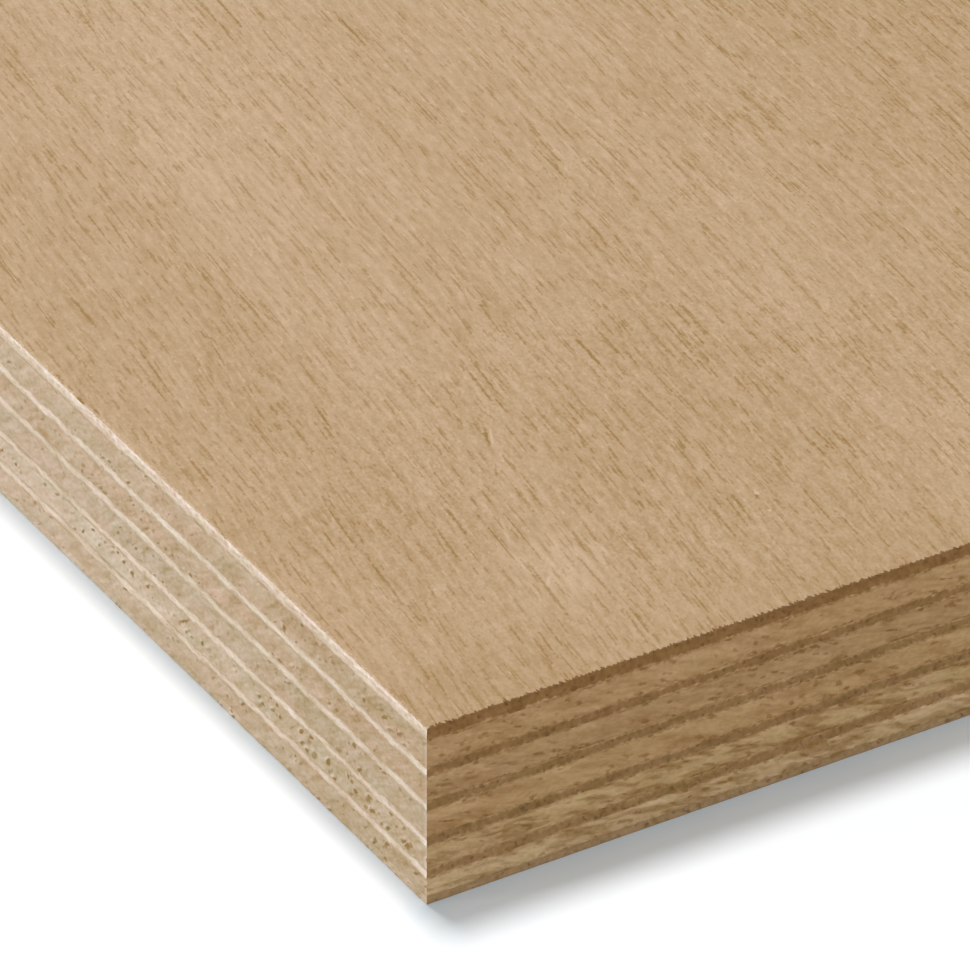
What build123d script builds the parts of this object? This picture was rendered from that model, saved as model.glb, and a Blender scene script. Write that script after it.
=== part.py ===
from build123d import *
import os

# Hardwood-faced plywood sheet, cross-bonded from eleven veneers.
# Millimetres. X runs along the face grain, Y across it and Z up through the sheet.
# The origin is on the back face, at the centre of the sheet.

# The trimmed sheet
sheet_length = 2440.0
sheet_width = 1220.0

# Outer veneers, after the sheet is sanded
face_veneer = 1.2
back_veneer = 0.8

# Inner veneers with their grain along the sheet
long_ply = 1.0

# Inner veneers with their grain across the sheet, from the face down
cross_ply_1 = 2.7
cross_ply_2 = 2.5
cross_ply_3 = 2.6
cross_ply_4 = 2.3
cross_ply_5 = 1.9


def build_veneer(name, underside, thickness):
    """One veneer of the full sheet outline, lying on the height given as its underside."""
    with BuildPart() as veneer:
        with BuildSketch(Plane.XY.offset(underside)):
            Rectangle(sheet_length, sheet_width)
        extrude(amount=thickness)
    veneer.part.label = name
    return veneer.part


# The lay-up from the back veneer to the face: grain along and grain across by turns
cross_plies = [cross_ply_1, cross_ply_2, cross_ply_3, cross_ply_4, cross_ply_5]
layup = [("back_veneer", back_veneer)]
for number in range(len(cross_plies), 0, -1):
    layup.append((f"cross_ply_{number}", cross_plies[number - 1]))
    if number > 1:
        layup.append((f"long_ply_{number - 1}", long_ply))
layup.append(("face_veneer", face_veneer))

os.makedirs("parts", exist_ok=True)
underside = 0.0
for name, thickness in layup:
    veneer = build_veneer(name, underside, thickness)
    export_step(veneer, f"parts/{name}.step")
    underside += thickness
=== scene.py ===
import math

import bpy
from mathutils import Matrix, Vector


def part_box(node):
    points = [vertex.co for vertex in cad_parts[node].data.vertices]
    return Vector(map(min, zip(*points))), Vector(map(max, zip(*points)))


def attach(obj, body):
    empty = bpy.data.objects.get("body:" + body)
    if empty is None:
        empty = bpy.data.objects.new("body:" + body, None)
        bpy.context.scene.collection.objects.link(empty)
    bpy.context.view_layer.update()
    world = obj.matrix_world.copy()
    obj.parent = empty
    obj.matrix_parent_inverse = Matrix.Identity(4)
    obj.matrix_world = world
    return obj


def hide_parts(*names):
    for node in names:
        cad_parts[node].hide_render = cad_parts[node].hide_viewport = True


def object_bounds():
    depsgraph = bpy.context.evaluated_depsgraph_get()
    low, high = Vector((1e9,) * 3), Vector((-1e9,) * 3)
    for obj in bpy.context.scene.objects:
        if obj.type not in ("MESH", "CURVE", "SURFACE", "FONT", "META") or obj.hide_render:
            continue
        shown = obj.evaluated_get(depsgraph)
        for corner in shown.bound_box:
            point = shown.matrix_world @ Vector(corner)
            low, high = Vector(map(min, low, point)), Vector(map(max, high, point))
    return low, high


# A full sheet of hardwood plywood, photographed close up at one corner
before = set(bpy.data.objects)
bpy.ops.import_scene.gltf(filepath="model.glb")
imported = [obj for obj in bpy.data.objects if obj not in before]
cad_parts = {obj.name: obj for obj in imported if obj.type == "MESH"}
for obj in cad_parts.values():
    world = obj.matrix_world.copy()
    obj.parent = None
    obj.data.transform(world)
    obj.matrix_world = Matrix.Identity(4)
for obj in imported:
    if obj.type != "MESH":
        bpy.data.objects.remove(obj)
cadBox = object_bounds()
mm = 0.001
noiseMiddle = 0.5                               # a noise runs from 0 to 1, around this
print(len(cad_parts), "veneers in the frame")


# Wiring nodes

class Wiring:                                   # adds nodes to one tree and joins them up
    def __init__(self, tree):
        self.tree = tree

    def feed(self, socket, value):
        if isinstance(value, bpy.types.NodeSocket):
            self.tree.links.new(value, socket)
        elif value is not None:
            socket.default_value = value

    def add(self, kind, inputs=None, out=0, **settings):
        node = self.tree.nodes.new(kind)
        for name, value in settings.items():
            setattr(node, name, value)
        for key, value in (inputs or {}).items():
            self.feed(node.inputs[key], value)
        return node.outputs[out]

    def math(self, operation, *values, clamp=False):
        return self.add("ShaderNodeMath", dict(enumerate(values)), operation=operation, use_clamp=clamp)

    def plus(self, a, b):
        return self.math("ADD", a, b)

    def less(self, a, b):
        return self.math("SUBTRACT", a, b)

    def times(self, a, b):
        return self.math("MULTIPLY", a, b)

    def over(self, a, b):
        return self.math("DIVIDE", a, b)

    def vector(self, operation, *values, out=0):
        return self.add("ShaderNodeVectorMath", dict(enumerate(values)), out=out, operation=operation)

    def split(self, vector):
        outputs = self.add("ShaderNodeSeparateXYZ", {0: vector}).node.outputs
        return outputs[0], outputs[1], outputs[2]

    def join(self, x, y, z):
        return self.add("ShaderNodeCombineXYZ", {0: x, 1: y, 2: z})

    def place(self):                            # where a point of the piece lies, in mm
        return self.vector("SCALE", self.add("ShaderNodeTexCoord", out=3), None, None, 1 / mm)

    def ramp(self, value, low, high, first=0.0, last=1.0, kind="SMOOTHSTEP"):
        inputs = {"Value": value, "From Min": low, "From Max": high, "To Min": first, "To Max": last}
        return self.add("ShaderNodeMapRange", inputs, interpolation_type=kind)

    def noise(self, place, scale, seed, detail, roughness):
        inputs = {"Vector": place, "W": seed, "Scale": scale, "Detail": detail, "Roughness": roughness}
        return self.add("ShaderNodeTexNoise", inputs, noise_dimensions="4D")

    def blend(self, share, first, second):      # two colours, mixed by a share from 0 to 1
        node = self.tree.nodes.new("ShaderNodeMix")
        node.data_type = "RGBA"
        for socket, value in ((node.inputs[0], share), (node.inputs[6], first), (node.inputs[7], second)):
            self.feed(socket, value)
        return node.outputs[2]


# The veneers' shape

cutting = {
    "cornerRun": 84 * mm,           # fine steps along the edge reach this far from each corner
    "fineStep": 0.25 * mm,
    "faceStep": 0.16 * mm,          # finer on the face veneer, for its torn arris
    "coarseStep": 2.0 * mm,
    "rings": [(4, 1.0), (16, 4.5), (64, 18.0), (256, 75.0)],    # fine steps to each of theirs, mm inwards
    "thickLevels": 5,               # rows of faces up the edge of a thick ply or the face veneer
    "thinLevels": 2,
    "faceBias": 1.6,                # the face veneer's rows crowd towards its top
    "onCorner": 0.4,                # a point this few fine steps from a corner is the corner
    "onEdge": 0.05 * mm,
    "weld": 0.004 * mm,
    "facing": 0.5,                  # how much of a face's normal has to lie along an axis
    "crease": 0.5,                  # radians
    "glueWave": 0.5 * mm, "glueRun": 11 * mm, "glueNoise": (3.0, 0.6),      # noise as detail and roughness
    "sawMark": 0.06 * mm, "sawRun": 1.6 * mm, "sawNoise": (1.0, 0.4), "sawSeed": 2.0,
    "tear": 0.32 * mm, "tearRun": 0.4 * mm, "tearNoise": (2.0, 0.7),
    "tornFrom": (0.40, 0.72),       # the noise where the arris begins to tear, and where it is torn in full
    "tornHeight": (0.5, 1.0),       # the same as shares of the veneer's height
    "longTear": 0.6,                # share of the tear on the long edges, and what the short ones add to it
    "shortTear": 0.4,
    "seedStep": 7.3,                # from one veneer to the next
}

veneerInputs = {
    "Float": ["Length", "Width", "Underside", "Thickness", "Level Bias", "Corner Run", "Fine Step",
              "Lower Wave", "Upper Wave", "Wave Run", "Lower Seed", "Upper Seed", "Relief",
              "Relief Run", "Relief Seed", "Tear", "Tear Run"],
    "Int": ["Levels", "Coarse Ratio"],
    "Material": ["Face Wood", "Long Edge Wood", "Short Edge Wood"],
}


def veneerTree():
    tree = bpy.data.node_groups.new("veneer", "GeometryNodeTree")
    tree.interface.new_socket("Geometry", in_out="OUTPUT", socket_type="NodeSocketGeometry")
    for kind, names in veneerInputs.items():
        for name in names:
            tree.interface.new_socket(name, in_out="INPUT", socket_type="NodeSocket" + kind)
    w = Wiring(tree)
    given = tree.nodes.new("NodeGroupInput").outputs
    halfLength = w.times(given["Length"], 0.5)
    halfWidth = w.times(given["Width"], 0.5)

    # the outline in fine steps, thinned out between the corners
    around = w.times(w.plus(given["Length"], given["Width"]), 2.0)
    outline = w.add("GeometryNodeCurvePrimitiveQuadrilateral",
                    {"Width": given["Length"], "Height": given["Width"]})
    outline = w.add("GeometryNodeResampleCurve", {
        "Curve": outline, "Count": w.math("ROUND", w.over(around, given["Fine Step"]))})
    index = w.add("GeometryNodeInputIndex")
    x, y, z = w.split(w.add("GeometryNodeInputPosition"))
    fromCorner = w.plus(w.less(halfLength, w.math("ABSOLUTE", x)), w.less(halfWidth, w.math("ABSOLUTE", y)))
    notCorner = w.math("GREATER_THAN", fromCorner, w.times(given["Fine Step"], cutting["onCorner"]))
    farOff = w.math("GREATER_THAN", fromCorner, given["Corner Run"])

    def skipping(steps):                        # points whose number isn't a multiple of the steps
        return w.math("GREATER_THAN", w.math("MODULO", index, steps), 0.5)

    def thinned(steps, inward):                 # the outline in coarser steps, so many mm further in
        spare = w.math("MAXIMUM", skipping(steps), w.times(farOff, skipping(given["Coarse Ratio"])))
        ring = w.add("GeometryNodeDeleteGeometry",
                     {"Geometry": outline, "Selection": w.times(spare, notCorner)})
        place = w.join(w.times(x, w.less(1.0, w.over(inward * mm, halfLength))),
                       w.times(y, w.less(1.0, w.over(inward * mm, halfWidth))), 0.0)
        return w.add("GeometryNodeSetPosition", {"Geometry": ring, "Position": place})

    # the wall, one unit high for each level and then at its true heights
    rim = thinned(1, 0.0)
    wallLine = w.add("GeometryNodeSetCurveNormal", {"Curve": rim}, mode="Z_UP")
    profile = w.add("GeometryNodeCurvePrimitiveLine", {"End": w.join(0.0, given["Levels"], 0.0)})
    profile = w.add("GeometryNodeResampleCurve", {"Curve": profile, "Count": w.plus(given["Levels"], 1.0)})
    wall = w.add("GeometryNodeCurveToMesh", {"Curve": wallLine, "Profile Curve": profile})
    rise = w.over(w.math("ROUND", w.math("ABSOLUTE", z)), given["Levels"])
    rise = w.less(1.0, w.math("POWER", w.less(1.0, rise), given["Level Bias"]))
    height = w.math("MULTIPLY_ADD", rise, given["Thickness"], given["Underside"])
    wall = w.add("GeometryNodeSetPosition", {"Geometry": wall, "Position": w.join(x, y, height)})

    # a lid of rings, each coarser than the one outside it
    def gathered(*parts):
        node = tree.nodes.new("GeometryNodeJoinGeometry")
        for part in parts:
            tree.links.new(part, node.inputs[0])
        return node.outputs[0]

    rings = [rim] + [thinned(steps, inward) for steps, inward in cutting["rings"]]
    bands = [w.add("GeometryNodeFillCurve", {"Curve": rings[-1]}, mode="TRIANGLES")]
    for outer, inner in zip(rings, rings[1:]):
        bands.append(w.add("GeometryNodeFillCurve", {"Curve": gathered(outer, inner)}, mode="TRIANGLES"))
    lid = gathered(*bands)
    upper = w.plus(given["Underside"], given["Thickness"])
    lidAbove = w.add("GeometryNodeTransform", {"Geometry": lid, "Translation": w.join(0.0, 0.0, upper)})
    lidBelow = w.add("GeometryNodeTransform",
                     {"Geometry": lid, "Translation": w.join(0.0, 0.0, given["Underside"])})
    lidBelow = w.add("GeometryNodeFlipFaces", {"Mesh": lidBelow})
    solid = w.add("GeometryNodeMergeByDistance",
                  {"Geometry": gathered(lidBelow, lidAbove, wall), "Distance": cutting["weld"]})

    # which way each face looks and how each edge bends, kept from before the relief
    def kept(geometry, domain, kind, value):
        node = tree.nodes.new("GeometryNodeCaptureAttribute")
        node.domain = domain
        node.capture_items.new(kind, "Value")
        w.feed(node.inputs[0], geometry)
        w.feed(node.inputs[1], value)
        return node.outputs[0], node.outputs[1]

    solid, looks = kept(solid, "FACE", "VECTOR", w.add("GeometryNodeInputNormal"))
    solid, bend = kept(solid, "EDGE", "FLOAT", w.add("GeometryNodeInputMeshEdgeAngle"))
    looksX, looksY, looksZ = w.split(looks)

    # glue lines that wander, the same for the two veneers that meet there
    here = w.add("GeometryNodeInputPosition")
    px, py, pz = w.split(here)
    nearX = w.math("LESS_THAN", w.less(halfLength, w.math("ABSOLUTE", px)), cutting["onEdge"])
    nearY = w.math("LESS_THAN", w.less(halfWidth, w.math("ABSOLUTE", py)), cutting["onEdge"])
    share = w.math("DIVIDE", w.less(pz, given["Underside"]), given["Thickness"], clamp=True)
    flatPlace = w.join(px, py, 0.0)

    def wander(seed, size):
        wave = w.noise(flatPlace, w.over(1.0, given["Wave Run"]), seed, *cutting["glueNoise"])
        return w.times(w.less(wave, noiseMiddle), size)

    lowerWave = wander(given["Lower Seed"], given["Lower Wave"])
    upperWave = wander(given["Upper Seed"], given["Upper Wave"])
    wave = w.plus(lowerWave, w.times(w.less(upperWave, lowerWave), share))

    # saw marks, always cut inwards, and the face veneer's torn arris
    grit = w.noise(here, w.over(1.0, given["Relief Run"]), given["Relief Seed"], *cutting["sawNoise"])
    teeth = w.noise(flatPlace, w.over(1.0, given["Tear Run"]), given["Relief Seed"], *cutting["tearNoise"])
    torn = w.times(given["Tear"], w.ramp(share, *cutting["tornHeight"]))
    torn = w.times(w.ramp(teeth, *cutting["tornFrom"]), torn)
    torn = w.times(torn, w.math("MULTIPLY_ADD", nearX, cutting["shortTear"], cutting["longTear"]))
    depth = w.plus(w.times(grit, given["Relief"]), torn)
    moveX = w.times(w.times(nearX, w.math("SIGN", px)), w.times(depth, -1.0))
    moveY = w.times(w.times(nearY, w.math("SIGN", py)), w.times(depth, -1.0))
    solid = w.add("GeometryNodeSetPosition", {
        "Geometry": solid, "Selection": w.math("MAXIMUM", nearX, nearY),
        "Offset": w.join(moveX, moveY, wave)})

    # sawn edges shade smoothly, faces and arrises stay crisp
    upright = w.math("LESS_THAN", w.math("ABSOLUTE", looksZ), cutting["facing"])
    solid = w.add("GeometryNodeSetShadeSmooth", {"Geometry": solid, "Shade Smooth": upright}, domain="FACE")
    creased = w.math("GREATER_THAN", bend, cutting["crease"])
    solid = w.add("GeometryNodeSetShadeSmooth",
                  {"Geometry": solid, "Selection": creased, "Shade Smooth": False}, domain="EDGE")
    solid = w.add("GeometryNodeRealizeInstances", {"Geometry": solid})
    solid = w.add("GeometryNodeSetMaterial", {"Geometry": solid, "Material": given["Face Wood"]})
    for axis, edge in ((looksX, "Short Edge Wood"), (looksY, "Long Edge Wood")):
        onIt = w.math("GREATER_THAN", w.math("ABSOLUTE", axis), cutting["facing"])
        solid = w.add("GeometryNodeSetMaterial",
                      {"Geometry": solid, "Selection": onIt, "Material": given[edge]})
    last = tree.nodes.new("NodeGroupOutput")
    w.feed(last.inputs[0], solid)
    return tree


def grow(name, tree, values):
    piece = bpy.data.objects.new(name, bpy.data.meshes.new(name + "Seed"))
    bpy.context.scene.collection.objects.link(piece)
    modifier = piece.modifiers.new("veneer", "NODES")
    modifier.node_group = tree
    sockets = {s.name: s.identifier for s in tree.interface.items_tree if s.in_out == "INPUT"}
    for key, value in values.items():
        modifier[sockets[key]] = value
    bpy.context.view_layer.update()
    ready = piece.evaluated_get(bpy.context.evaluated_depsgraph_get())
    mesh = bpy.data.meshes.new_from_object(ready)
    mesh.name = name
    piece.modifiers.remove(modifier)
    piece.data = mesh
    return piece


# Wood, with its patterns in millimetres
# A grain is written as its own seed, its size along and across the lie of the wood, and its detail.
# Strokes are written as their own seed, length, pitch, width and the share of the places filled.
# A tone of 0 is a wood's middle colour, and 1 and -1 are its usual light and dark.

wood = {
    "toneReach": 1.5,               # the lightest and the darkest tone that a wood can take
    "shine": 0.25, "roughness": 0.72,
    "grainRoughness": 0.5,
    "figureSeed": 40.0, "growthSeed": 60.0, "layerStep": 2.3,
    "strokeShift": (1.37, 2.11),    # how far a seed moves the cells that the strokes lie in
    "halfStroke": (0.12, 0.34),     # the least of a stroke's half length, and what chance adds, in cells
    "halfGirth": (0.5, 0.8),        # the same for its half width, in widths
    "strokeFade": 0.3,              # only this share of the places filled has strokes at full strength
    "strokeRim": (1.1, 0.3),        # where a stroke begins and where it is full, in half strokes
    "drifting": (-0.14, 0.14),      # the grain over which a wood changes from one tint to the other
    "paintedCornerHighlight": (0.45, 0.10), "paintedCornerHighlightRagged": 1.6, "paintedCornerHighlightTone": 0.8,       # mm from the sheet's upright corners, where a painted highlight lies
}


def toLinear(colour):                           # from 0 to 255 as a screen shows it
    return [(c / 255 / 12.92) if c <= 10 else ((c / 255 + 0.055) / 1.055) ** 2.4 for c in colour]


def plain(colour):
    return (*toLinear(colour), 1.0)


def shade(middle, spread, reach):               # a shade of that wood, so many spreads from its middle
    return (*[max(0.0, c * (1 + reach * part)) for c, part in zip(toLinear(middle), spread)], 1.0)


def startWood(name):
    material = bpy.data.materials.new(name)
    material.use_nodes = True
    w = Wiring(material.node_tree)
    x, y, z = w.split(w.place())
    return material, w, x, y, z


def endWood(material, w, look, colour, height):
    shader = material.node_tree.nodes["Principled BSDF"]
    shader.inputs["Specular IOR Level"].default_value = wood["shine"]
    shader.inputs["Roughness"].default_value = wood["roughness"]
    w.feed(shader.inputs["Base Color"], colour)
    bump = w.add("ShaderNodeBump", {"Strength": 1.0, "Distance": look["relief"] * mm, "Height": height})
    w.feed(shader.inputs["Normal"], bump)
    return material


def stained(w, tone, middle, spread):
    reach = wood["toneReach"]
    share = w.math("MULTIPLY_ADD", tone, 1 / (2 * reach), 0.5, clamp=True)
    return w.blend(share, shade(middle, spread, -reach), shade(middle, spread, reach))


def tinted(w, drift, tone, middle, look):       # a stained wood whose colour drifts between two tints
    shades = []
    for tint in look["tints"]:
        tintedMiddle = [c + change for c, change in zip(middle, tint)]
        shades.append(stained(w, tone, tintedMiddle, look["spread"]))
    return w.blend(drift, *shades)


def turned(w, along, across, degrees):          # axes of a pattern that leans
    c, s = math.cos(math.radians(degrees)), math.sin(math.radians(degrees))
    return w.plus(w.times(along, c), w.times(across, s)), w.less(w.times(across, c), w.times(along, s))


def grain(w, along, across, seed, pattern):     # noise drawn out along the wood, around 0
    step, length, width, detail = pattern
    place = w.join(w.over(along, length), w.over(across, width), seed + step)
    inputs = {"Vector": place, "Scale": 1.0, "Detail": detail, "Roughness": wood["grainRoughness"]}
    return w.less(w.add("ShaderNodeTexNoise", inputs, noise_dimensions="3D"), noiseMiddle)


def layered(w, along, across, seed, layers):    # each layer: size along and across, detail, strength
    total = 0.0
    for number, (length, width, detail, strength) in enumerate(layers):
        layer = grain(w, along, across, seed, (wood["layerStep"] * number, length, width, detail))
        total = w.math("MULTIPLY_ADD", layer, strength, total)
    return total


def strokes(w, along, across, seed, pattern, ragged, rim=wood["strokeRim"]):    # scattered, one to a cell
    step, length, pitch, width, share = pattern
    shiftX, shiftY = wood["strokeShift"]
    place = w.join(w.plus(w.over(along, length), (seed + step) * shiftX),
                   w.plus(w.over(across, pitch), (seed + step) * shiftY), 0.0)
    voronoi = w.add("ShaderNodeTexVoronoi", {"Vector": place, "Scale": 1.0}, voronoi_dimensions="2D")
    cell = voronoi.node.outputs
    gapX, gapY, gapZ = w.split(w.vector("SUBTRACT", place, cell["Position"]))
    first, second, third = w.split(cell["Color"])
    least, more = wood["halfStroke"]
    reach = w.math("MULTIPLY_ADD", first, more, least)
    least, more = wood["halfGirth"]
    girth = w.math("MULTIPLY_ADD", second, width * more, width * least)
    farX = w.over(gapX, reach)
    farY = w.over(w.times(gapY, pitch), girth)
    far = w.math("SQRT", w.plus(w.times(farX, farX), w.times(farY, farY)))
    chosen = w.ramp(third, 1.0 - share, 1.0 - share * wood["strokeFade"])
    return w.times(w.ramp(w.plus(far, ragged), *rim), chosen)


def mixed(w, *parts):                           # the sum of some patterns, each by its strength
    total = w.times(*parts[0])
    for pattern, strength in parts[1:]:
        total = w.math("MULTIPLY_ADD", pattern, strength, total)
    return total


def drifting(w, along, across, seed, pattern):
    return w.ramp(grain(w, along, across, seed, pattern), *wood["drifting"])


def fromShortEdge(w, x):                        # mm in from the nearer short edge of the sheet
    return w.less(cadBox[1].x / mm, w.math("ABSOLUTE", x))


def paintedCornerHighlight(w, x, speck):                          # a painted highlight: the arris at the sheet's upright corners, a little paler
    return w.ramp(w.math("MULTIPLY_ADD", speck, wood["paintedCornerHighlightRagged"], fromShortEdge(w, x)), *wood["paintedCornerHighlight"])


# The faces of every veneer

faceLook = {
    "middle": (195, 163, 124), "spread": (0.21, 0.27, 0.44),    # spread of red, green and blue
    "swing": (36.0, 250.0, 75.0),               # mm off the long edge, and over what run and width
    "bend": (19.0, 760.0, 190.0, 0.0), "bendSize": 110.0,
    "waver": (0.0, 24.0, 8.0, 1.0), "waverSize": 1.8,
    "speck": (1.3, 0.42, 0.30, 1.0), "speckTone": 1.5, "ragged": 1.4,
    "lines": (0.0, 10.0, 1.0, 0.15, 0.8),
    "pores": (5.0, 4.0, 0.46, 0.14, 0.9), "poreShare": 0.8,
    "rim": (1.05, 0.55),                        # lines and pores are crisper than other strokes
    "cluster": (3.1, 20.0, 3.0, 0.0), "clustered": (-0.16, 0.16, 0.65, 0.97),
    "darkTone": -1.5,
    "fibres": (9.0, 1.2, 0.80, 0.12, 0.35), "fibreTone": 1.0,
    "figure": [(1.5, 0.70, 0.0, 1.2), (6.0, 0.5, 0.0, 1.3), (14.0, 2.6, 1.0, 0.40),
               (6.0, 12.0, 1.0, 0.45)],
    "growth": [(1500.0, 20.0, 2.0, 1.3), (900.0, 170.0, 0.0, 1.3)],
    "lift": 0.28,                               # makes up for the dark of the pores
    "calm": (0.0, 20.0, 0.80, 0.93),            # mm from the short edge, and the strength of the grain there
    "stain": (14.0, 0.0), "stainTone": 0.35,    # mm over which the face darkens towards the short edge
    "frayedAndPaintedHighlight": (0.35, 0.105), "frayedAndPaintedHighlightRagged": 1.6, "frayedAndPaintedHighlightTone": 1.6,    # pale fibres on the long arris, with a painted highlight there
    "markRim": (1.2, 0.3),
    "torn": (0.34, 0.22), "tornTone": (128, 92, 52),            # end grain laid bare on the short arris
    "teeth": (31.0, 1.1, 0.32, 2.0), "bite": 1.5,
    "relief": 0.05,
}

marks = [                           # mm in from the short and the long edge, half sizes, lean, tone
    (59.2, 0.08, 0.90, 0.40, 0.0, -3.6),
    (63.4, 0.42, 0.75, 0.16, 0.0, -1.8),
    (61.4, 0.42, 0.60, 0.18, 0.0, -1.6),
    (56.8, 0.50, 0.70, 0.16, 0.0, -1.8),
    # a dent, over these four rows: a painted highlight along one side and painted shade in its groove
    (35.8, 28.1, 1.5, 0.14, -25.0, 1.8),
    (36.0, 27.7, 1.9, 0.20, -23.0, -1.9),
    (30.9, 25.6, 1.3, 0.16, -25.0, -1.3),
    (22.5, 21.4, 2.4, 0.20, -20.0, 0.9),
    # a raised fibre, over these three rows: pale painted highlights, with a painted shadow beside them
    (16.3, 43.1, 0.32, 0.24, 0.0, 2.4),
    (15.8, 42.8, 0.35, 0.14, -30.0, -1.8),
    (13.4, 42.6, 0.24, 0.20, 0.0, 2.0),
    (15.5, 22.3, 6.5, 4.5, -20.0, 0.45),
    (13.8, 20.4, 1.0, 0.22, -40.0, 1.2),
    (26.0, 40.0, 22.0, 34.0, 0.0, -0.24),
    (104.0, 36.0, 40.0, 40.0, 0.0, 0.26),
]


def faceWood(name, seed, look, scarsAndPaintedLight=(), alongY=False):
    material, w, x, y, z = startWood(name)
    along, across = (y, x) if alongY else (x, y)
    swing, swingRun, swingWidth = look["swing"]
    sway = w.times(w.math("SINE", w.over(w.less(cadBox[1].x / mm, x), swingRun)),
                   w.math("COSINE", w.over(w.less(y, cadBox[0].y / mm), swingWidth)))
    across = w.math("MULTIPLY_ADD", sway, -swing, across)
    speck = grain(w, along, across, seed, look["speck"])
    ragged = w.times(speck, look["ragged"])
    bend = grain(w, along, across, seed, look["bend"])
    bent = w.math("MULTIPLY_ADD", bend, look["bendSize"], across)
    waver = grain(w, along, across, seed, look["waver"])
    across = w.math("MULTIPLY_ADD", waver, look["waverSize"], across)

    cluster = w.ramp(grain(w, along, across, seed, look["cluster"]), *look["clustered"])
    lines = strokes(w, along, across, seed, look["lines"], ragged, look["rim"])
    pores = strokes(w, along, across, seed, look["pores"], ragged, look["rim"])
    fibres = strokes(w, along, across, seed, look["fibres"], ragged)
    dark = w.times(w.math("MAXIMUM", lines, w.times(pores, look["poreShare"])), cluster)
    tone = mixed(w, (speck, look["speckTone"]), (dark, look["darkTone"]), (fibres, look["fibreTone"]))
    tone = w.plus(tone, layered(w, along, across, seed + wood["figureSeed"], look["figure"]))
    tone = w.plus(tone, layered(w, along, bent, seed + wood["growthSeed"], look["growth"]))

    fromShort = fromShortEdge(w, x)
    calm = w.ramp(fromShort, *look["calm"])
    stain = w.times(w.ramp(fromShort, *look["stain"]), look["stainTone"])
    tone = w.less(w.times(w.plus(tone, look["lift"]), calm), stain)
    if scarsAndPaintedLight:
        fromLong = w.less(cadBox[1].y / mm, w.math("ABSOLUTE", y))
        # frayed fibres and a painted highlight: paler along the long arris
        frayedAndPaintedHighlight = w.ramp(w.plus(fromLong, w.times(speck, look["frayedAndPaintedHighlightRagged"])), *look["frayedAndPaintedHighlight"])
        tone = w.math("MULTIPLY_ADD", frayedAndPaintedHighlight, look["frayedAndPaintedHighlightTone"], tone)
    # each mark a scar, or the painted highlight or painted shadow of a dent or a raised fibre
    for inward, up, halfLength, halfWidth, lean, change in scarsAndPaintedLight:
        leanU, leanV = turned(w, w.less(x, cadBox[1].x / mm - inward), w.less(y, cadBox[0].y / mm + up), lean)
        leanU, leanV = w.over(leanU, halfLength), w.over(leanV, halfWidth)
        far = w.math("SQRT", w.plus(w.times(leanU, leanU), w.times(leanV, leanV)))
        tone = w.math("MULTIPLY_ADD", w.ramp(w.plus(far, ragged), *look["markRim"]), change, tone)
    colour = stained(w, tone, look["middle"], look["spread"])
    if scarsAndPaintedLight:
        teeth = w.math("MULTIPLY_ADD", grain(w, x, y, seed, look["teeth"]), look["bite"], fromShort)
        colour = w.blend(w.ramp(teeth, *look["torn"]), colour, plain(look["tornTone"]))
    return endWood(material, w, look, colour, speck)


# End grain of the thick veneers and the back veneer, on the long edges

endLook = {
    "spread": (0.28, 0.355, 0.62), "tints": ((-2, 1, 1), (1, -1, -1)),
    "lean": 36.0, "bow": (2.0, 9.0, 4.0, 1.0), "bowSize": 1.4,
    "speck": (1.3, 0.60, 0.42, 2.0), "speckTone": 1.4, "ragged": 2.2,
    "pores": ((142, 114, 48), (150, 118, 62)),
    "crowded": (12.0, 1.9, 0.90, 0.27, 0.85), "lone": (15.0, 1.25, 0.80, 0.16, 0.55),
    "crowding": (9.0, 7.0, 1.7, 1.0),
    "crowdFrom": (0.16, 0.30), "crowdTo": (0.24, 0.24),     # each falls with the share of pores in a ply
    "alone": (-0.20, 0.25, 0.15, 0.8),          # lone pores too are stronger where it is crowded
    "nearCorner": (30.0, 20.0), "swell": 1.5,   # mm from the corner, with more and larger pores nearer to it
    "paintedHighlightSide": (0.15, 0.30), "paintedHighlightTone": 0.7,    # a painted highlight: a pale rim on one side of each pore
    "paling": (16.0, 58.0),                     # mm from the corner
    "patch": (18.0, 12.0, 2.2, 1.0), "patchTone": 1.2,
    "figure": [(2.6, 0.60, 2.0, 2.0), (1.3, 0.36, 1.0, 0.9), (6.0, 1.3, 1.0, 1.3)],
    "drift": (24.0, 6.0, 1.8, 1.0),
    "sunk": 0.7, "relief": 0.06,
}


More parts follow.
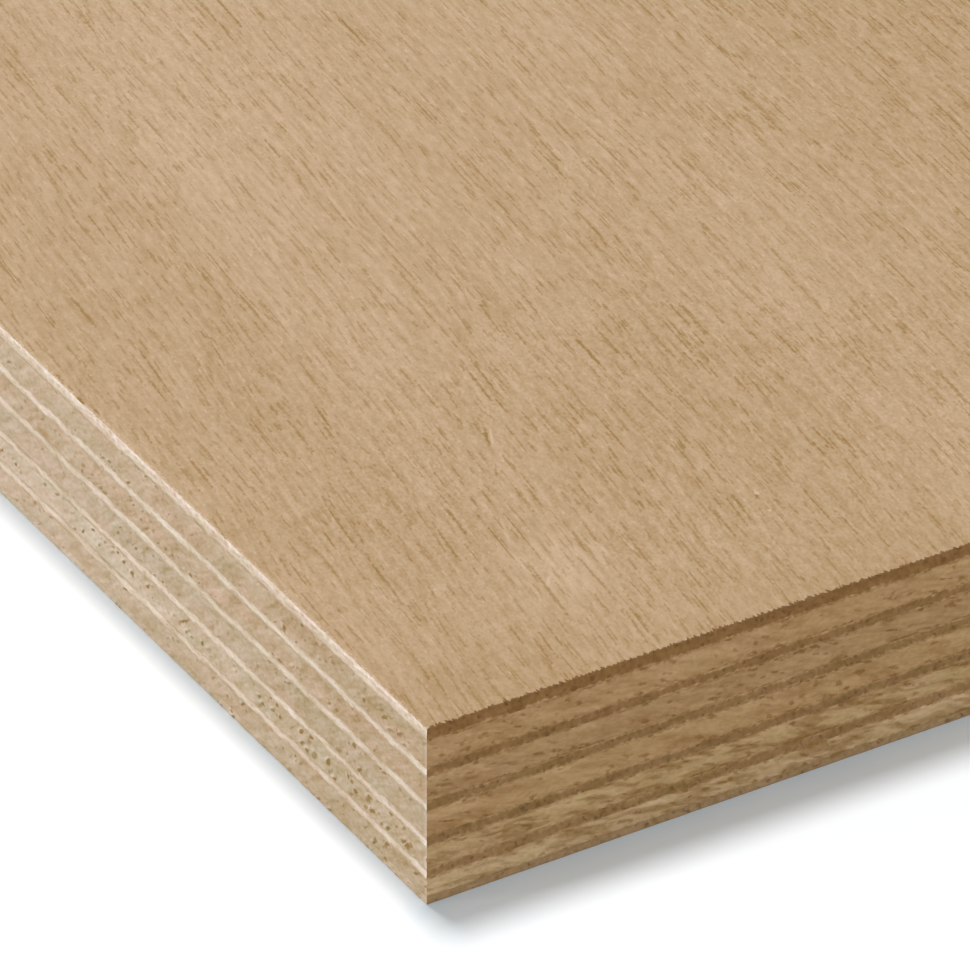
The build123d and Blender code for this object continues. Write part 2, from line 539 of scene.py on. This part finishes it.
def crossEndWood(name, seed, look, ply):
    material, w, x, y, z = startWood(name)
    bow = w.math("MULTIPLY_ADD", grain(w, x, z, seed, look["bow"]), look["bowSize"], z)
    leanU, leanV = turned(w, x, bow, look["lean"])
    speck = grain(w, x, z, seed, look["speck"])
    fromShort = fromShortEdge(w, x)
    near = w.times(w.ramp(fromShort, *look["nearCorner"]), ply.get("crowd", 0.0))
    ragged = w.less(w.times(speck, look["ragged"]), w.times(near, look["swell"]))

    crowding = w.plus(grain(w, x, z, seed, look["crowding"]), near)
    low, high = (start - fall * ply["pores"] for start, fall in (look["crowdFrom"], look["crowdTo"]))
    crowd = w.ramp(crowding, low, high)
    dots = w.times(strokes(w, leanU, leanV, seed, look["crowded"], ragged), crowd)
    alone = w.ramp(crowding, *look["alone"])
    lone = w.times(strokes(w, leanU, leanV, seed, look["lone"], ragged), alone)
    pores = w.math("MAXIMUM", dots, lone)
    shiftU, shiftV = look["paintedHighlightSide"]
    # painted highlight beside each crowded pore, as if lit from one side
    lit = strokes(w, w.plus(leanU, shiftU), w.less(leanV, shiftV), seed, look["crowded"], ragged)
    lit = w.times(lit, crowd)

    patch = grain(w, x, z, seed, look["patch"])
    # the tone takes in the painted highlight along the upright corner
    tone = mixed(w, (speck, look["speckTone"]), (lit, look["paintedHighlightTone"]), (paintedCornerHighlight(w, x, speck), wood["paintedCornerHighlightTone"]),
                 (w.ramp(fromShort, *look["paling"]), ply["pale"]), (patch, look["patchTone"]))
    tone = w.plus(tone, layered(w, leanU, leanV, seed + wood["figureSeed"], look["figure"]))
    drift = drifting(w, x, z, seed, look["drift"])
    colour = tinted(w, drift, tone, ply["long"], look)
    poreColour = w.blend(drift, *[plain(pore) for pore in look["pores"]])
    colour = w.blend(pores, colour, poreColour)
    return endWood(material, w, look, colour, w.less(speck, w.times(pores, look["sunk"])))


# Thick veneers sawn along their grain, on the short edges

sawnLook = {
    "spread": (0.25, 0.33, 0.46), "tints": ((-1, 0, -2), (1, 0, 1)),
    "lean": -18.0, "bow": (2.0, 6.0, 3.0, 1.0), "bowSize": 1.5,
    "speck": (1.3, 0.55, 0.36, 2.0), "speckTone": 1.9, "ragged": 3.0,
    "dashes": (7.0, 1.9, 0.8, 0.22, 0.7), "dashTone": -1.1,
    "blots": (11.0, 4.2, 1.0, 2.0), "blotLean": -9.0, "blotRagged": 0.30,
    "blotted": (-0.03, 0.09), "blotTone": -2.7,
    "glueShade": (0.24, -0.08), "glueRagged": 0.8, "glueTone": -1.0,        # mm from the glue lines
    "patch": (18.0, 12.0, 2.4, 1.0), "patchTone": 1.3,
    "figure": [(1.7, 0.5, 2.0, 2.3), (6.0, 1.4, 1.0, 1.8)],
    "lift": 0.20,
    "drift": (24.0, 7.0, 1.8, 1.0),
    "sunk": 0.6, "relief": 0.06,
}


def crossLongWood(name, seed, look, ply, middle, half):
    material, w, x, y, z = startWood(name)
    bow = w.math("MULTIPLY_ADD", grain(w, y, z, seed, look["bow"]), look["bowSize"], z)
    leanU, leanV = turned(w, y, bow, look["lean"])
    speck = grain(w, y, z, seed, look["speck"])
    dashes = strokes(w, leanU, leanV, seed, look["dashes"], w.times(speck, look["ragged"]))
    tiltU, tiltV = turned(w, y, bow, look["blotLean"])
    blots = grain(w, tiltU, tiltV, seed, look["blots"])
    blots = w.ramp(w.math("MULTIPLY_ADD", speck, look["blotRagged"], blots), *look["blotted"])
    fromGlue = w.less(half, w.math("ABSOLUTE", w.less(z, middle)))
    glue = w.ramp(w.math("MULTIPLY_ADD", speck, look["glueRagged"], fromGlue), *look["glueShade"])
    patch = grain(w, y, z, seed, look["patch"])
    tone = mixed(w, (speck, look["speckTone"]), (dashes, look["dashTone"]),
                 (blots, look["blotTone"] * ply["blotch"]), (glue, look["glueTone"]),
                 (patch, look["patchTone"]), (1.0, look["lift"] + ply["blotch"]))
    tone = w.plus(tone, layered(w, leanU, leanV, seed + wood["figureSeed"], look["figure"]))
    colour = tinted(w, drifting(w, y, z, seed, look["drift"]), tone, ply["short"], look)
    return endWood(material, w, look, colour, w.less(speck, w.times(dashes, look["sunk"])))


# Thin veneers sawn along their grain, on the long edges

paleLook = {
    "spread": (0.22, 0.28, 0.42), "tints": ((-1, 1, -1), (1, -1, 1)),
    "speck": (1.3, 0.62, 0.34, 2.0), "speckTone": 2.6,
    "patch": (0.0, 3.6, 1.4, 2.0), "patchTone": (1.2, 1.6),         # the second by how wild a ply is
    "threads": (4.0, 1.6, 0.26, 1.0), "threadTone": 1.6,
    "jog": (7.0, 2.4, 9.0, 1.0), "jogSize": 0.5,
    "frayedAndPaintedHighlight": 0.55, "frayedAndPaintedHighlightRagged": 0.6, "frayedAndPaintedHighlightTone": (-0.3, 1.0),         # mm below the top arris, pale fibres and a painted highlight there
    "blur": (1.3, -0.8),
    "rim": 0.02, "core": 0.38,                  # mm from the glue line, where it begins and where it is full
    "drift": (24.0, 3.5, 1.8, 1.0),
    "relief": 0.06,
}


def paleWood(name, seed, look, ply, middle, half, beside):
    material, w, x, y, z = startWood(name)
    speck = grain(w, x, z, seed, look["speck"])
    patch = grain(w, x, z, seed, look["patch"])
    threads = grain(w, x, z, seed, look["threads"])
    patchTone, wildTone = look["patchTone"]
    # the tone takes in the painted highlight along the upright corner
    tone = mixed(w, (speck, look["speckTone"]), (patch, patchTone + wildTone * ply["wild"]),
                 (paintedCornerHighlight(w, x, speck), wood["paintedCornerHighlightTone"]), (threads, look["threadTone"]))
    jog = grain(w, x, z, seed, look["jog"])
    out = w.math("ABSOLUTE", w.math("MULTIPLY_ADD", jog, look["jogSize"], w.less(z, middle)))
    if ply.get("outermost"):
        # frayed fibres and a painted highlight: the face veneer's long edge paler along its top arris
        top = w.math("MULTIPLY_ADD", speck, look["frayedAndPaintedHighlightRagged"], z)
        top = w.ramp(top, middle + half - look["frayedAndPaintedHighlight"], middle + half)
        below, above = look["frayedAndPaintedHighlightTone"]
        tone = w.math("MULTIPLY_ADD", top, above, w.plus(tone, below))
        out = w.less(middle, z)
    colour = tinted(w, drifting(w, x, z, seed, look["drift"]), tone, ply["long"], look)
    speckBlur, wildBlur = look["blur"]
    blur = w.math("MULTIPLY_ADD", speck, speckBlur, w.times(patch, wildBlur * ply["wild"]))
    core = w.ramp(w.plus(out, blur), half - look["rim"], half - look["core"])
    colour = w.blend(core, stained(w, tone, beside, look["spread"]), colour)
    return endWood(material, w, look, colour, speck)


# End grain of the thin veneers, on the short edges

darkLook = {
    "spread": (0.26, 0.30, 0.46), "tints": ((-1, 0, -2), (2, 0, 1)),
    "lean": -62.0,
    "speck": (1.3, 0.46, 0.42, 2.0), "speckTone": 2.3, "ragged": 2.6,
    "streak": (0.0, 1.2, 0.50, 2.0), "streakTone": 2.0,
    "patch": (4.0, 3.0, 1.2, 2.0), "patchTone": 2.4,
    "pores": (6.0, 0.8, 0.6, 0.20, 0.5), "pore": (108, 74, 34), "poreShare": 0.5,
    "blur": (0.35, 0.45, 0.6),                  # by the streak, the speck and the patch
    "rim": -0.08, "core": 0.22,                 # mm from the glue line, as on the long edges
    "drift": (24.0, 4.0, 1.8, 1.0),
    "relief": 0.06,
}


def darkWood(name, seed, look, ply, middle, half, beside):
    material, w, x, y, z = startWood(name)
    leanU, leanV = turned(w, y, z, look["lean"])
    speck = grain(w, y, z, seed, look["speck"])
    streak = grain(w, leanU, leanV, seed, look["streak"])
    patch = grain(w, y, z, seed, look["patch"])
    tone = mixed(w, (speck, look["speckTone"]), (streak, look["streakTone"]), (patch, look["patchTone"]))
    colour = tinted(w, drifting(w, y, z, seed, look["drift"]), tone, ply["short"], look)
    pores = strokes(w, leanU, leanV, seed, look["pores"], w.times(speck, look["ragged"]))
    colour = w.blend(w.times(pores, look["poreShare"]), colour, plain(look["pore"]))
    if ply.get("outermost"):
        out = w.less(middle, z)
    else:
        out = w.math("ABSOLUTE", w.less(z, middle))
    out = w.plus(out, mixed(w, *zip((streak, speck, patch), look["blur"])))
    core = w.ramp(out, half - look["rim"], half - look["core"])
    colour = w.blend(core, stained(w, tone, beside, look["spread"]), colour)
    return endWood(material, w, look, colour, w.less(w.plus(speck, streak), pores))


# The plies, from the back veneer up: middle colours on the long and the short edges,
# how full of pores and how much paler away from the corner a long edge of end grain is,
# how much more crowded its pores are near the corner, and how blotched or wild a sawn edge is

plies = {
    "back_veneer": {"long": (197, 174, 142), "short": (181, 151, 111),
                    "pores": 0.55, "pale": 0.5, "crowd": 0.07},
    "cross_ply_5": {"long": (190, 166, 134), "short": (198, 165, 121),
                    "pores": 0.45, "pale": 0.60, "blotch": 0.5},
    "long_ply_4": {"long": (225, 206, 185), "short": (161, 126, 81), "wild": 0.6},
    "cross_ply_4": {"long": (193, 171, 140), "short": (182, 149, 103),
                    "pores": 0.9, "pale": 0.72, "blotch": 0.55, "crowd": 0.17},
    "long_ply_3": {"long": (228, 210, 190), "short": (150, 116, 72), "wild": 0.4},
    "cross_ply_3": {"long": (191, 168, 138), "short": (182, 146, 100),
                    "pores": 0.3, "pale": 0.22, "blotch": 0.2},
    "long_ply_2": {"long": (223, 205, 183), "short": (149, 115, 70), "wild": 0.5},
    "cross_ply_2": {"long": (192, 165, 133), "short": (175, 139, 95),
                    "pores": 0.25, "pale": 0.15, "blotch": 0.12},
    "long_ply_1": {"long": (227, 209, 188), "short": (146, 110, 65), "wild": 0.4},
    "cross_ply_1": {"long": (190, 164, 131), "short": (178, 141, 96),
                    "pores": 0.4, "pale": 0.42, "blotch": 0.1, "crowd": 0.08},
    "face_veneer": {"long": (228, 208, 187), "short": (143, 104, 57), "wild": 0.5, "outermost": True},
}
besideLong = plies["cross_ply_3"]["long"]       # what a thin ply blends into at its glue lines
besideShort = plies["cross_ply_1"]["short"]

tree = veneerTree()
for order, (name, ply) in enumerate(plies.items()):
    low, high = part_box(name)
    seed = order * cutting["seedStep"]
    cross = name.startswith("cross")
    isFace = name == "face_veneer"
    isBack = name == "back_veneer"
    middle = (low.z + high.z) / 2 / mm
    half = (high.z - low.z) / 2 / mm
    if cross:
        flat = faceWood(name + "Face", seed, faceLook, alongY=True)
        shortEdge = crossLongWood(name + "ShortEdge", seed, sawnLook, ply, middle, half)
    else:
        flat = faceWood(name + "Face", seed, faceLook, marks if isFace else ())
        shortEdge = darkWood(name + "ShortEdge", seed, darkLook, ply, middle, half, besideShort)
    if cross or isBack:
        longEdge = crossEndWood(name + "LongEdge", seed, endLook, ply)
    else:
        longEdge = paleWood(name + "LongEdge", seed, paleLook, ply, middle, half, besideLong)
    step = cutting["faceStep"] if isFace else cutting["fineStep"]
    piece = grow(name + "_wood", tree, {
        "Length": high.x - low.x, "Width": high.y - low.y,
        "Underside": low.z, "Thickness": high.z - low.z,
        "Levels": cutting["thickLevels"] if cross or isFace else cutting["thinLevels"],
        "Level Bias": cutting["faceBias"] if isFace else 1.0,
        "Corner Run": cutting["cornerRun"], "Fine Step": step,
        "Coarse Ratio": round(cutting["coarseStep"] / step),
        "Lower Wave": 0.0 if isBack else cutting["glueWave"],
        "Upper Wave": 0.0 if isFace else cutting["glueWave"], "Wave Run": cutting["glueRun"],
        "Lower Seed": seed, "Upper Seed": seed + cutting["seedStep"],
        "Relief": cutting["sawMark"], "Relief Run": cutting["sawRun"],
        "Relief Seed": seed + cutting["sawSeed"],
        "Tear": cutting["tear"] if isFace else 0.0, "Tear Run": cutting["tearRun"],
        "Face Wood": flat, "Long Edge Wood": longEdge, "Short Edge Wood": shortEdge,
    })
    print(name, len(piece.data.vertices), sum(len(p.vertices) - 2 for p in piece.data.polygons))
    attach(piece, "root")
    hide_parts(name)
print("veneers grown")


# Floor, light and camera

studio = {
    "floorSide": 14.0,
    "floorDrop": 0.02 * mm,                 # keeps it clear of the back face
    "floorGrey": 0.8,                       # as the object sees it
    "floorSeen": (1.045, 1.045, 1.055),     # as the camera sees it, against the wood's warm light
    "floorGlow": (0.088, 0.13, 0.155),
    "paintedFringeShade": (0.88, 0.92, 0.98),         # as the camera sees it close by the sheet: painted shade, a darker and cooler fringe
    "paintedFringeRun": (0.3, 2.7),                  # mm out from the sheet's edges, over which the painted shade fades
    "skyStrength": 0.25,
    "lamps": {                              # where from, share of full light, softness in degrees
        "overhead": ((-5.23, 0.80, 18.0), 0.59, 14.5),
        "side": ((-0.30, -0.95, 0.04), 0.58, 10.0),
        "front": ((1.0, 0.10, 0.10), 0.30, 30.0),
    },
}

view = {
    "azimuth": 58.64, "elevation": 33.345, "roll": 0.204,       # degrees
    "lens": 416.58,
    "clip": (0.05, 200.0),
    "corner": (-4.894 * mm, -20.770 * mm, 941.20 * mm),         # right, up and ahead of the camera
}


def seenByCamera(w):                        # straight, or in a mirror or through glass
    rays = w.add("ShaderNodeLightPath").node.outputs
    seen = w.math("MAXIMUM", rays["Is Glossy Ray"], rays["Is Transmission Ray"])
    return w.math("MAXIMUM", rays["Is Camera Ray"], seen)


def makeFloor():
    side = studio["floorSide"] / 2
    corners = [(-side, -side, 0), (side, -side, 0), (side, side, 0), (-side, side, 0)]
    mesh = bpy.data.meshes.new("floor")
    mesh.from_pydata(corners, [], [(0, 1, 2, 3)])
    floor = bpy.data.objects.new("floor", mesh)
    floor.location.z = -studio["floorDrop"]
    bpy.context.scene.collection.objects.link(floor)
    material = bpy.data.materials.new("floorPaper")
    material.use_nodes = True
    material.node_tree.nodes.clear()
    w = Wiring(material.node_tree)
    seen = seenByCamera(w)
    grey = studio["floorGrey"]
    x, y, z = w.split(w.vector("ABSOLUTE", w.place()))
    outside = w.math("MAXIMUM", w.less(x, cadBox[1].x / mm), w.less(y, cadBox[1].y / mm))
    # painted shade: the floor darker and cooler in a fringe close by the sheet's edges
    paperWithPaintedFringe = w.blend(w.ramp(outside, *studio["paintedFringeRun"]), (*studio["paintedFringeShade"], 1), (*studio["floorSeen"], 1))
    colour = w.blend(seen, (grey, grey, grey, 1), paperWithPaintedFringe)
    matt = w.add("ShaderNodeBsdfDiffuse", {"Color": colour})
    glow = w.add("ShaderNodeEmission", {"Color": (*studio["floorGlow"], 1), "Strength": seen})
    last = material.node_tree.nodes.new("ShaderNodeOutputMaterial")
    w.feed(last.inputs["Surface"], w.add("ShaderNodeAddShader", {0: matt, 1: glow}))
    mesh.materials.append(material)


def makeSky():
    world = bpy.data.worlds.new("studio")
    bpy.context.scene.world = world
    world.use_nodes = True
    world.node_tree.nodes.clear()
    w = Wiring(world.node_tree)
    strength = w.ramp(seenByCamera(w), 0.0, 1.0, studio["skyStrength"], 1.0, kind="LINEAR")
    sky = w.add("ShaderNodeBackground", {"Color": (1, 1, 1, 1), "Strength": strength})
    last = world.node_tree.nodes.new("ShaderNodeOutputWorld")
    w.feed(last.inputs["Surface"], sky)


def makeLamps():
    for name, (source, strength, softness) in studio["lamps"].items():
        light = bpy.data.lights.new(name, "SUN")
        light.energy = strength * math.pi
        light.angle = math.radians(softness)
        lamp = bpy.data.objects.new(name, light)
        lamp.rotation_euler = Vector(source).to_track_quat("Z", "Y").to_euler()
        bpy.context.scene.collection.objects.link(lamp)


def makeCamera():
    azimuth, elevation, roll = (math.radians(view[k]) for k in ("azimuth", "elevation", "roll"))
    back = Vector((math.sin(azimuth) * math.cos(elevation), -math.cos(azimuth) * math.cos(elevation),
                   math.sin(elevation)))
    right = Vector((math.cos(azimuth), math.sin(azimuth), 0.0))
    up = back.cross(right)
    right, up = (right * math.cos(roll) + up * math.sin(roll), up * math.cos(roll) - right * math.sin(roll))
    corner = Vector((cadBox[1].x, cadBox[0].y, cadBox[1].z))
    aside, above, ahead = view["corner"]
    data = bpy.data.cameras.new("camera")
    data.lens = view["lens"]
    data.clip_start, data.clip_end = view["clip"]
    camera = bpy.data.objects.new("camera", data)
    camera.matrix_world = Matrix((right, up, back)).transposed().to_4x4()
    camera.location = corner - right * aside - up * above + back * ahead
    bpy.context.scene.collection.objects.link(camera)
    bpy.context.scene.camera = camera


makeFloor()
makeSky()
makeLamps()
makeCamera()
bpy.context.scene.view_settings.view_transform = "Standard"
print("studio ready")

bpy.context.view_layer.update()
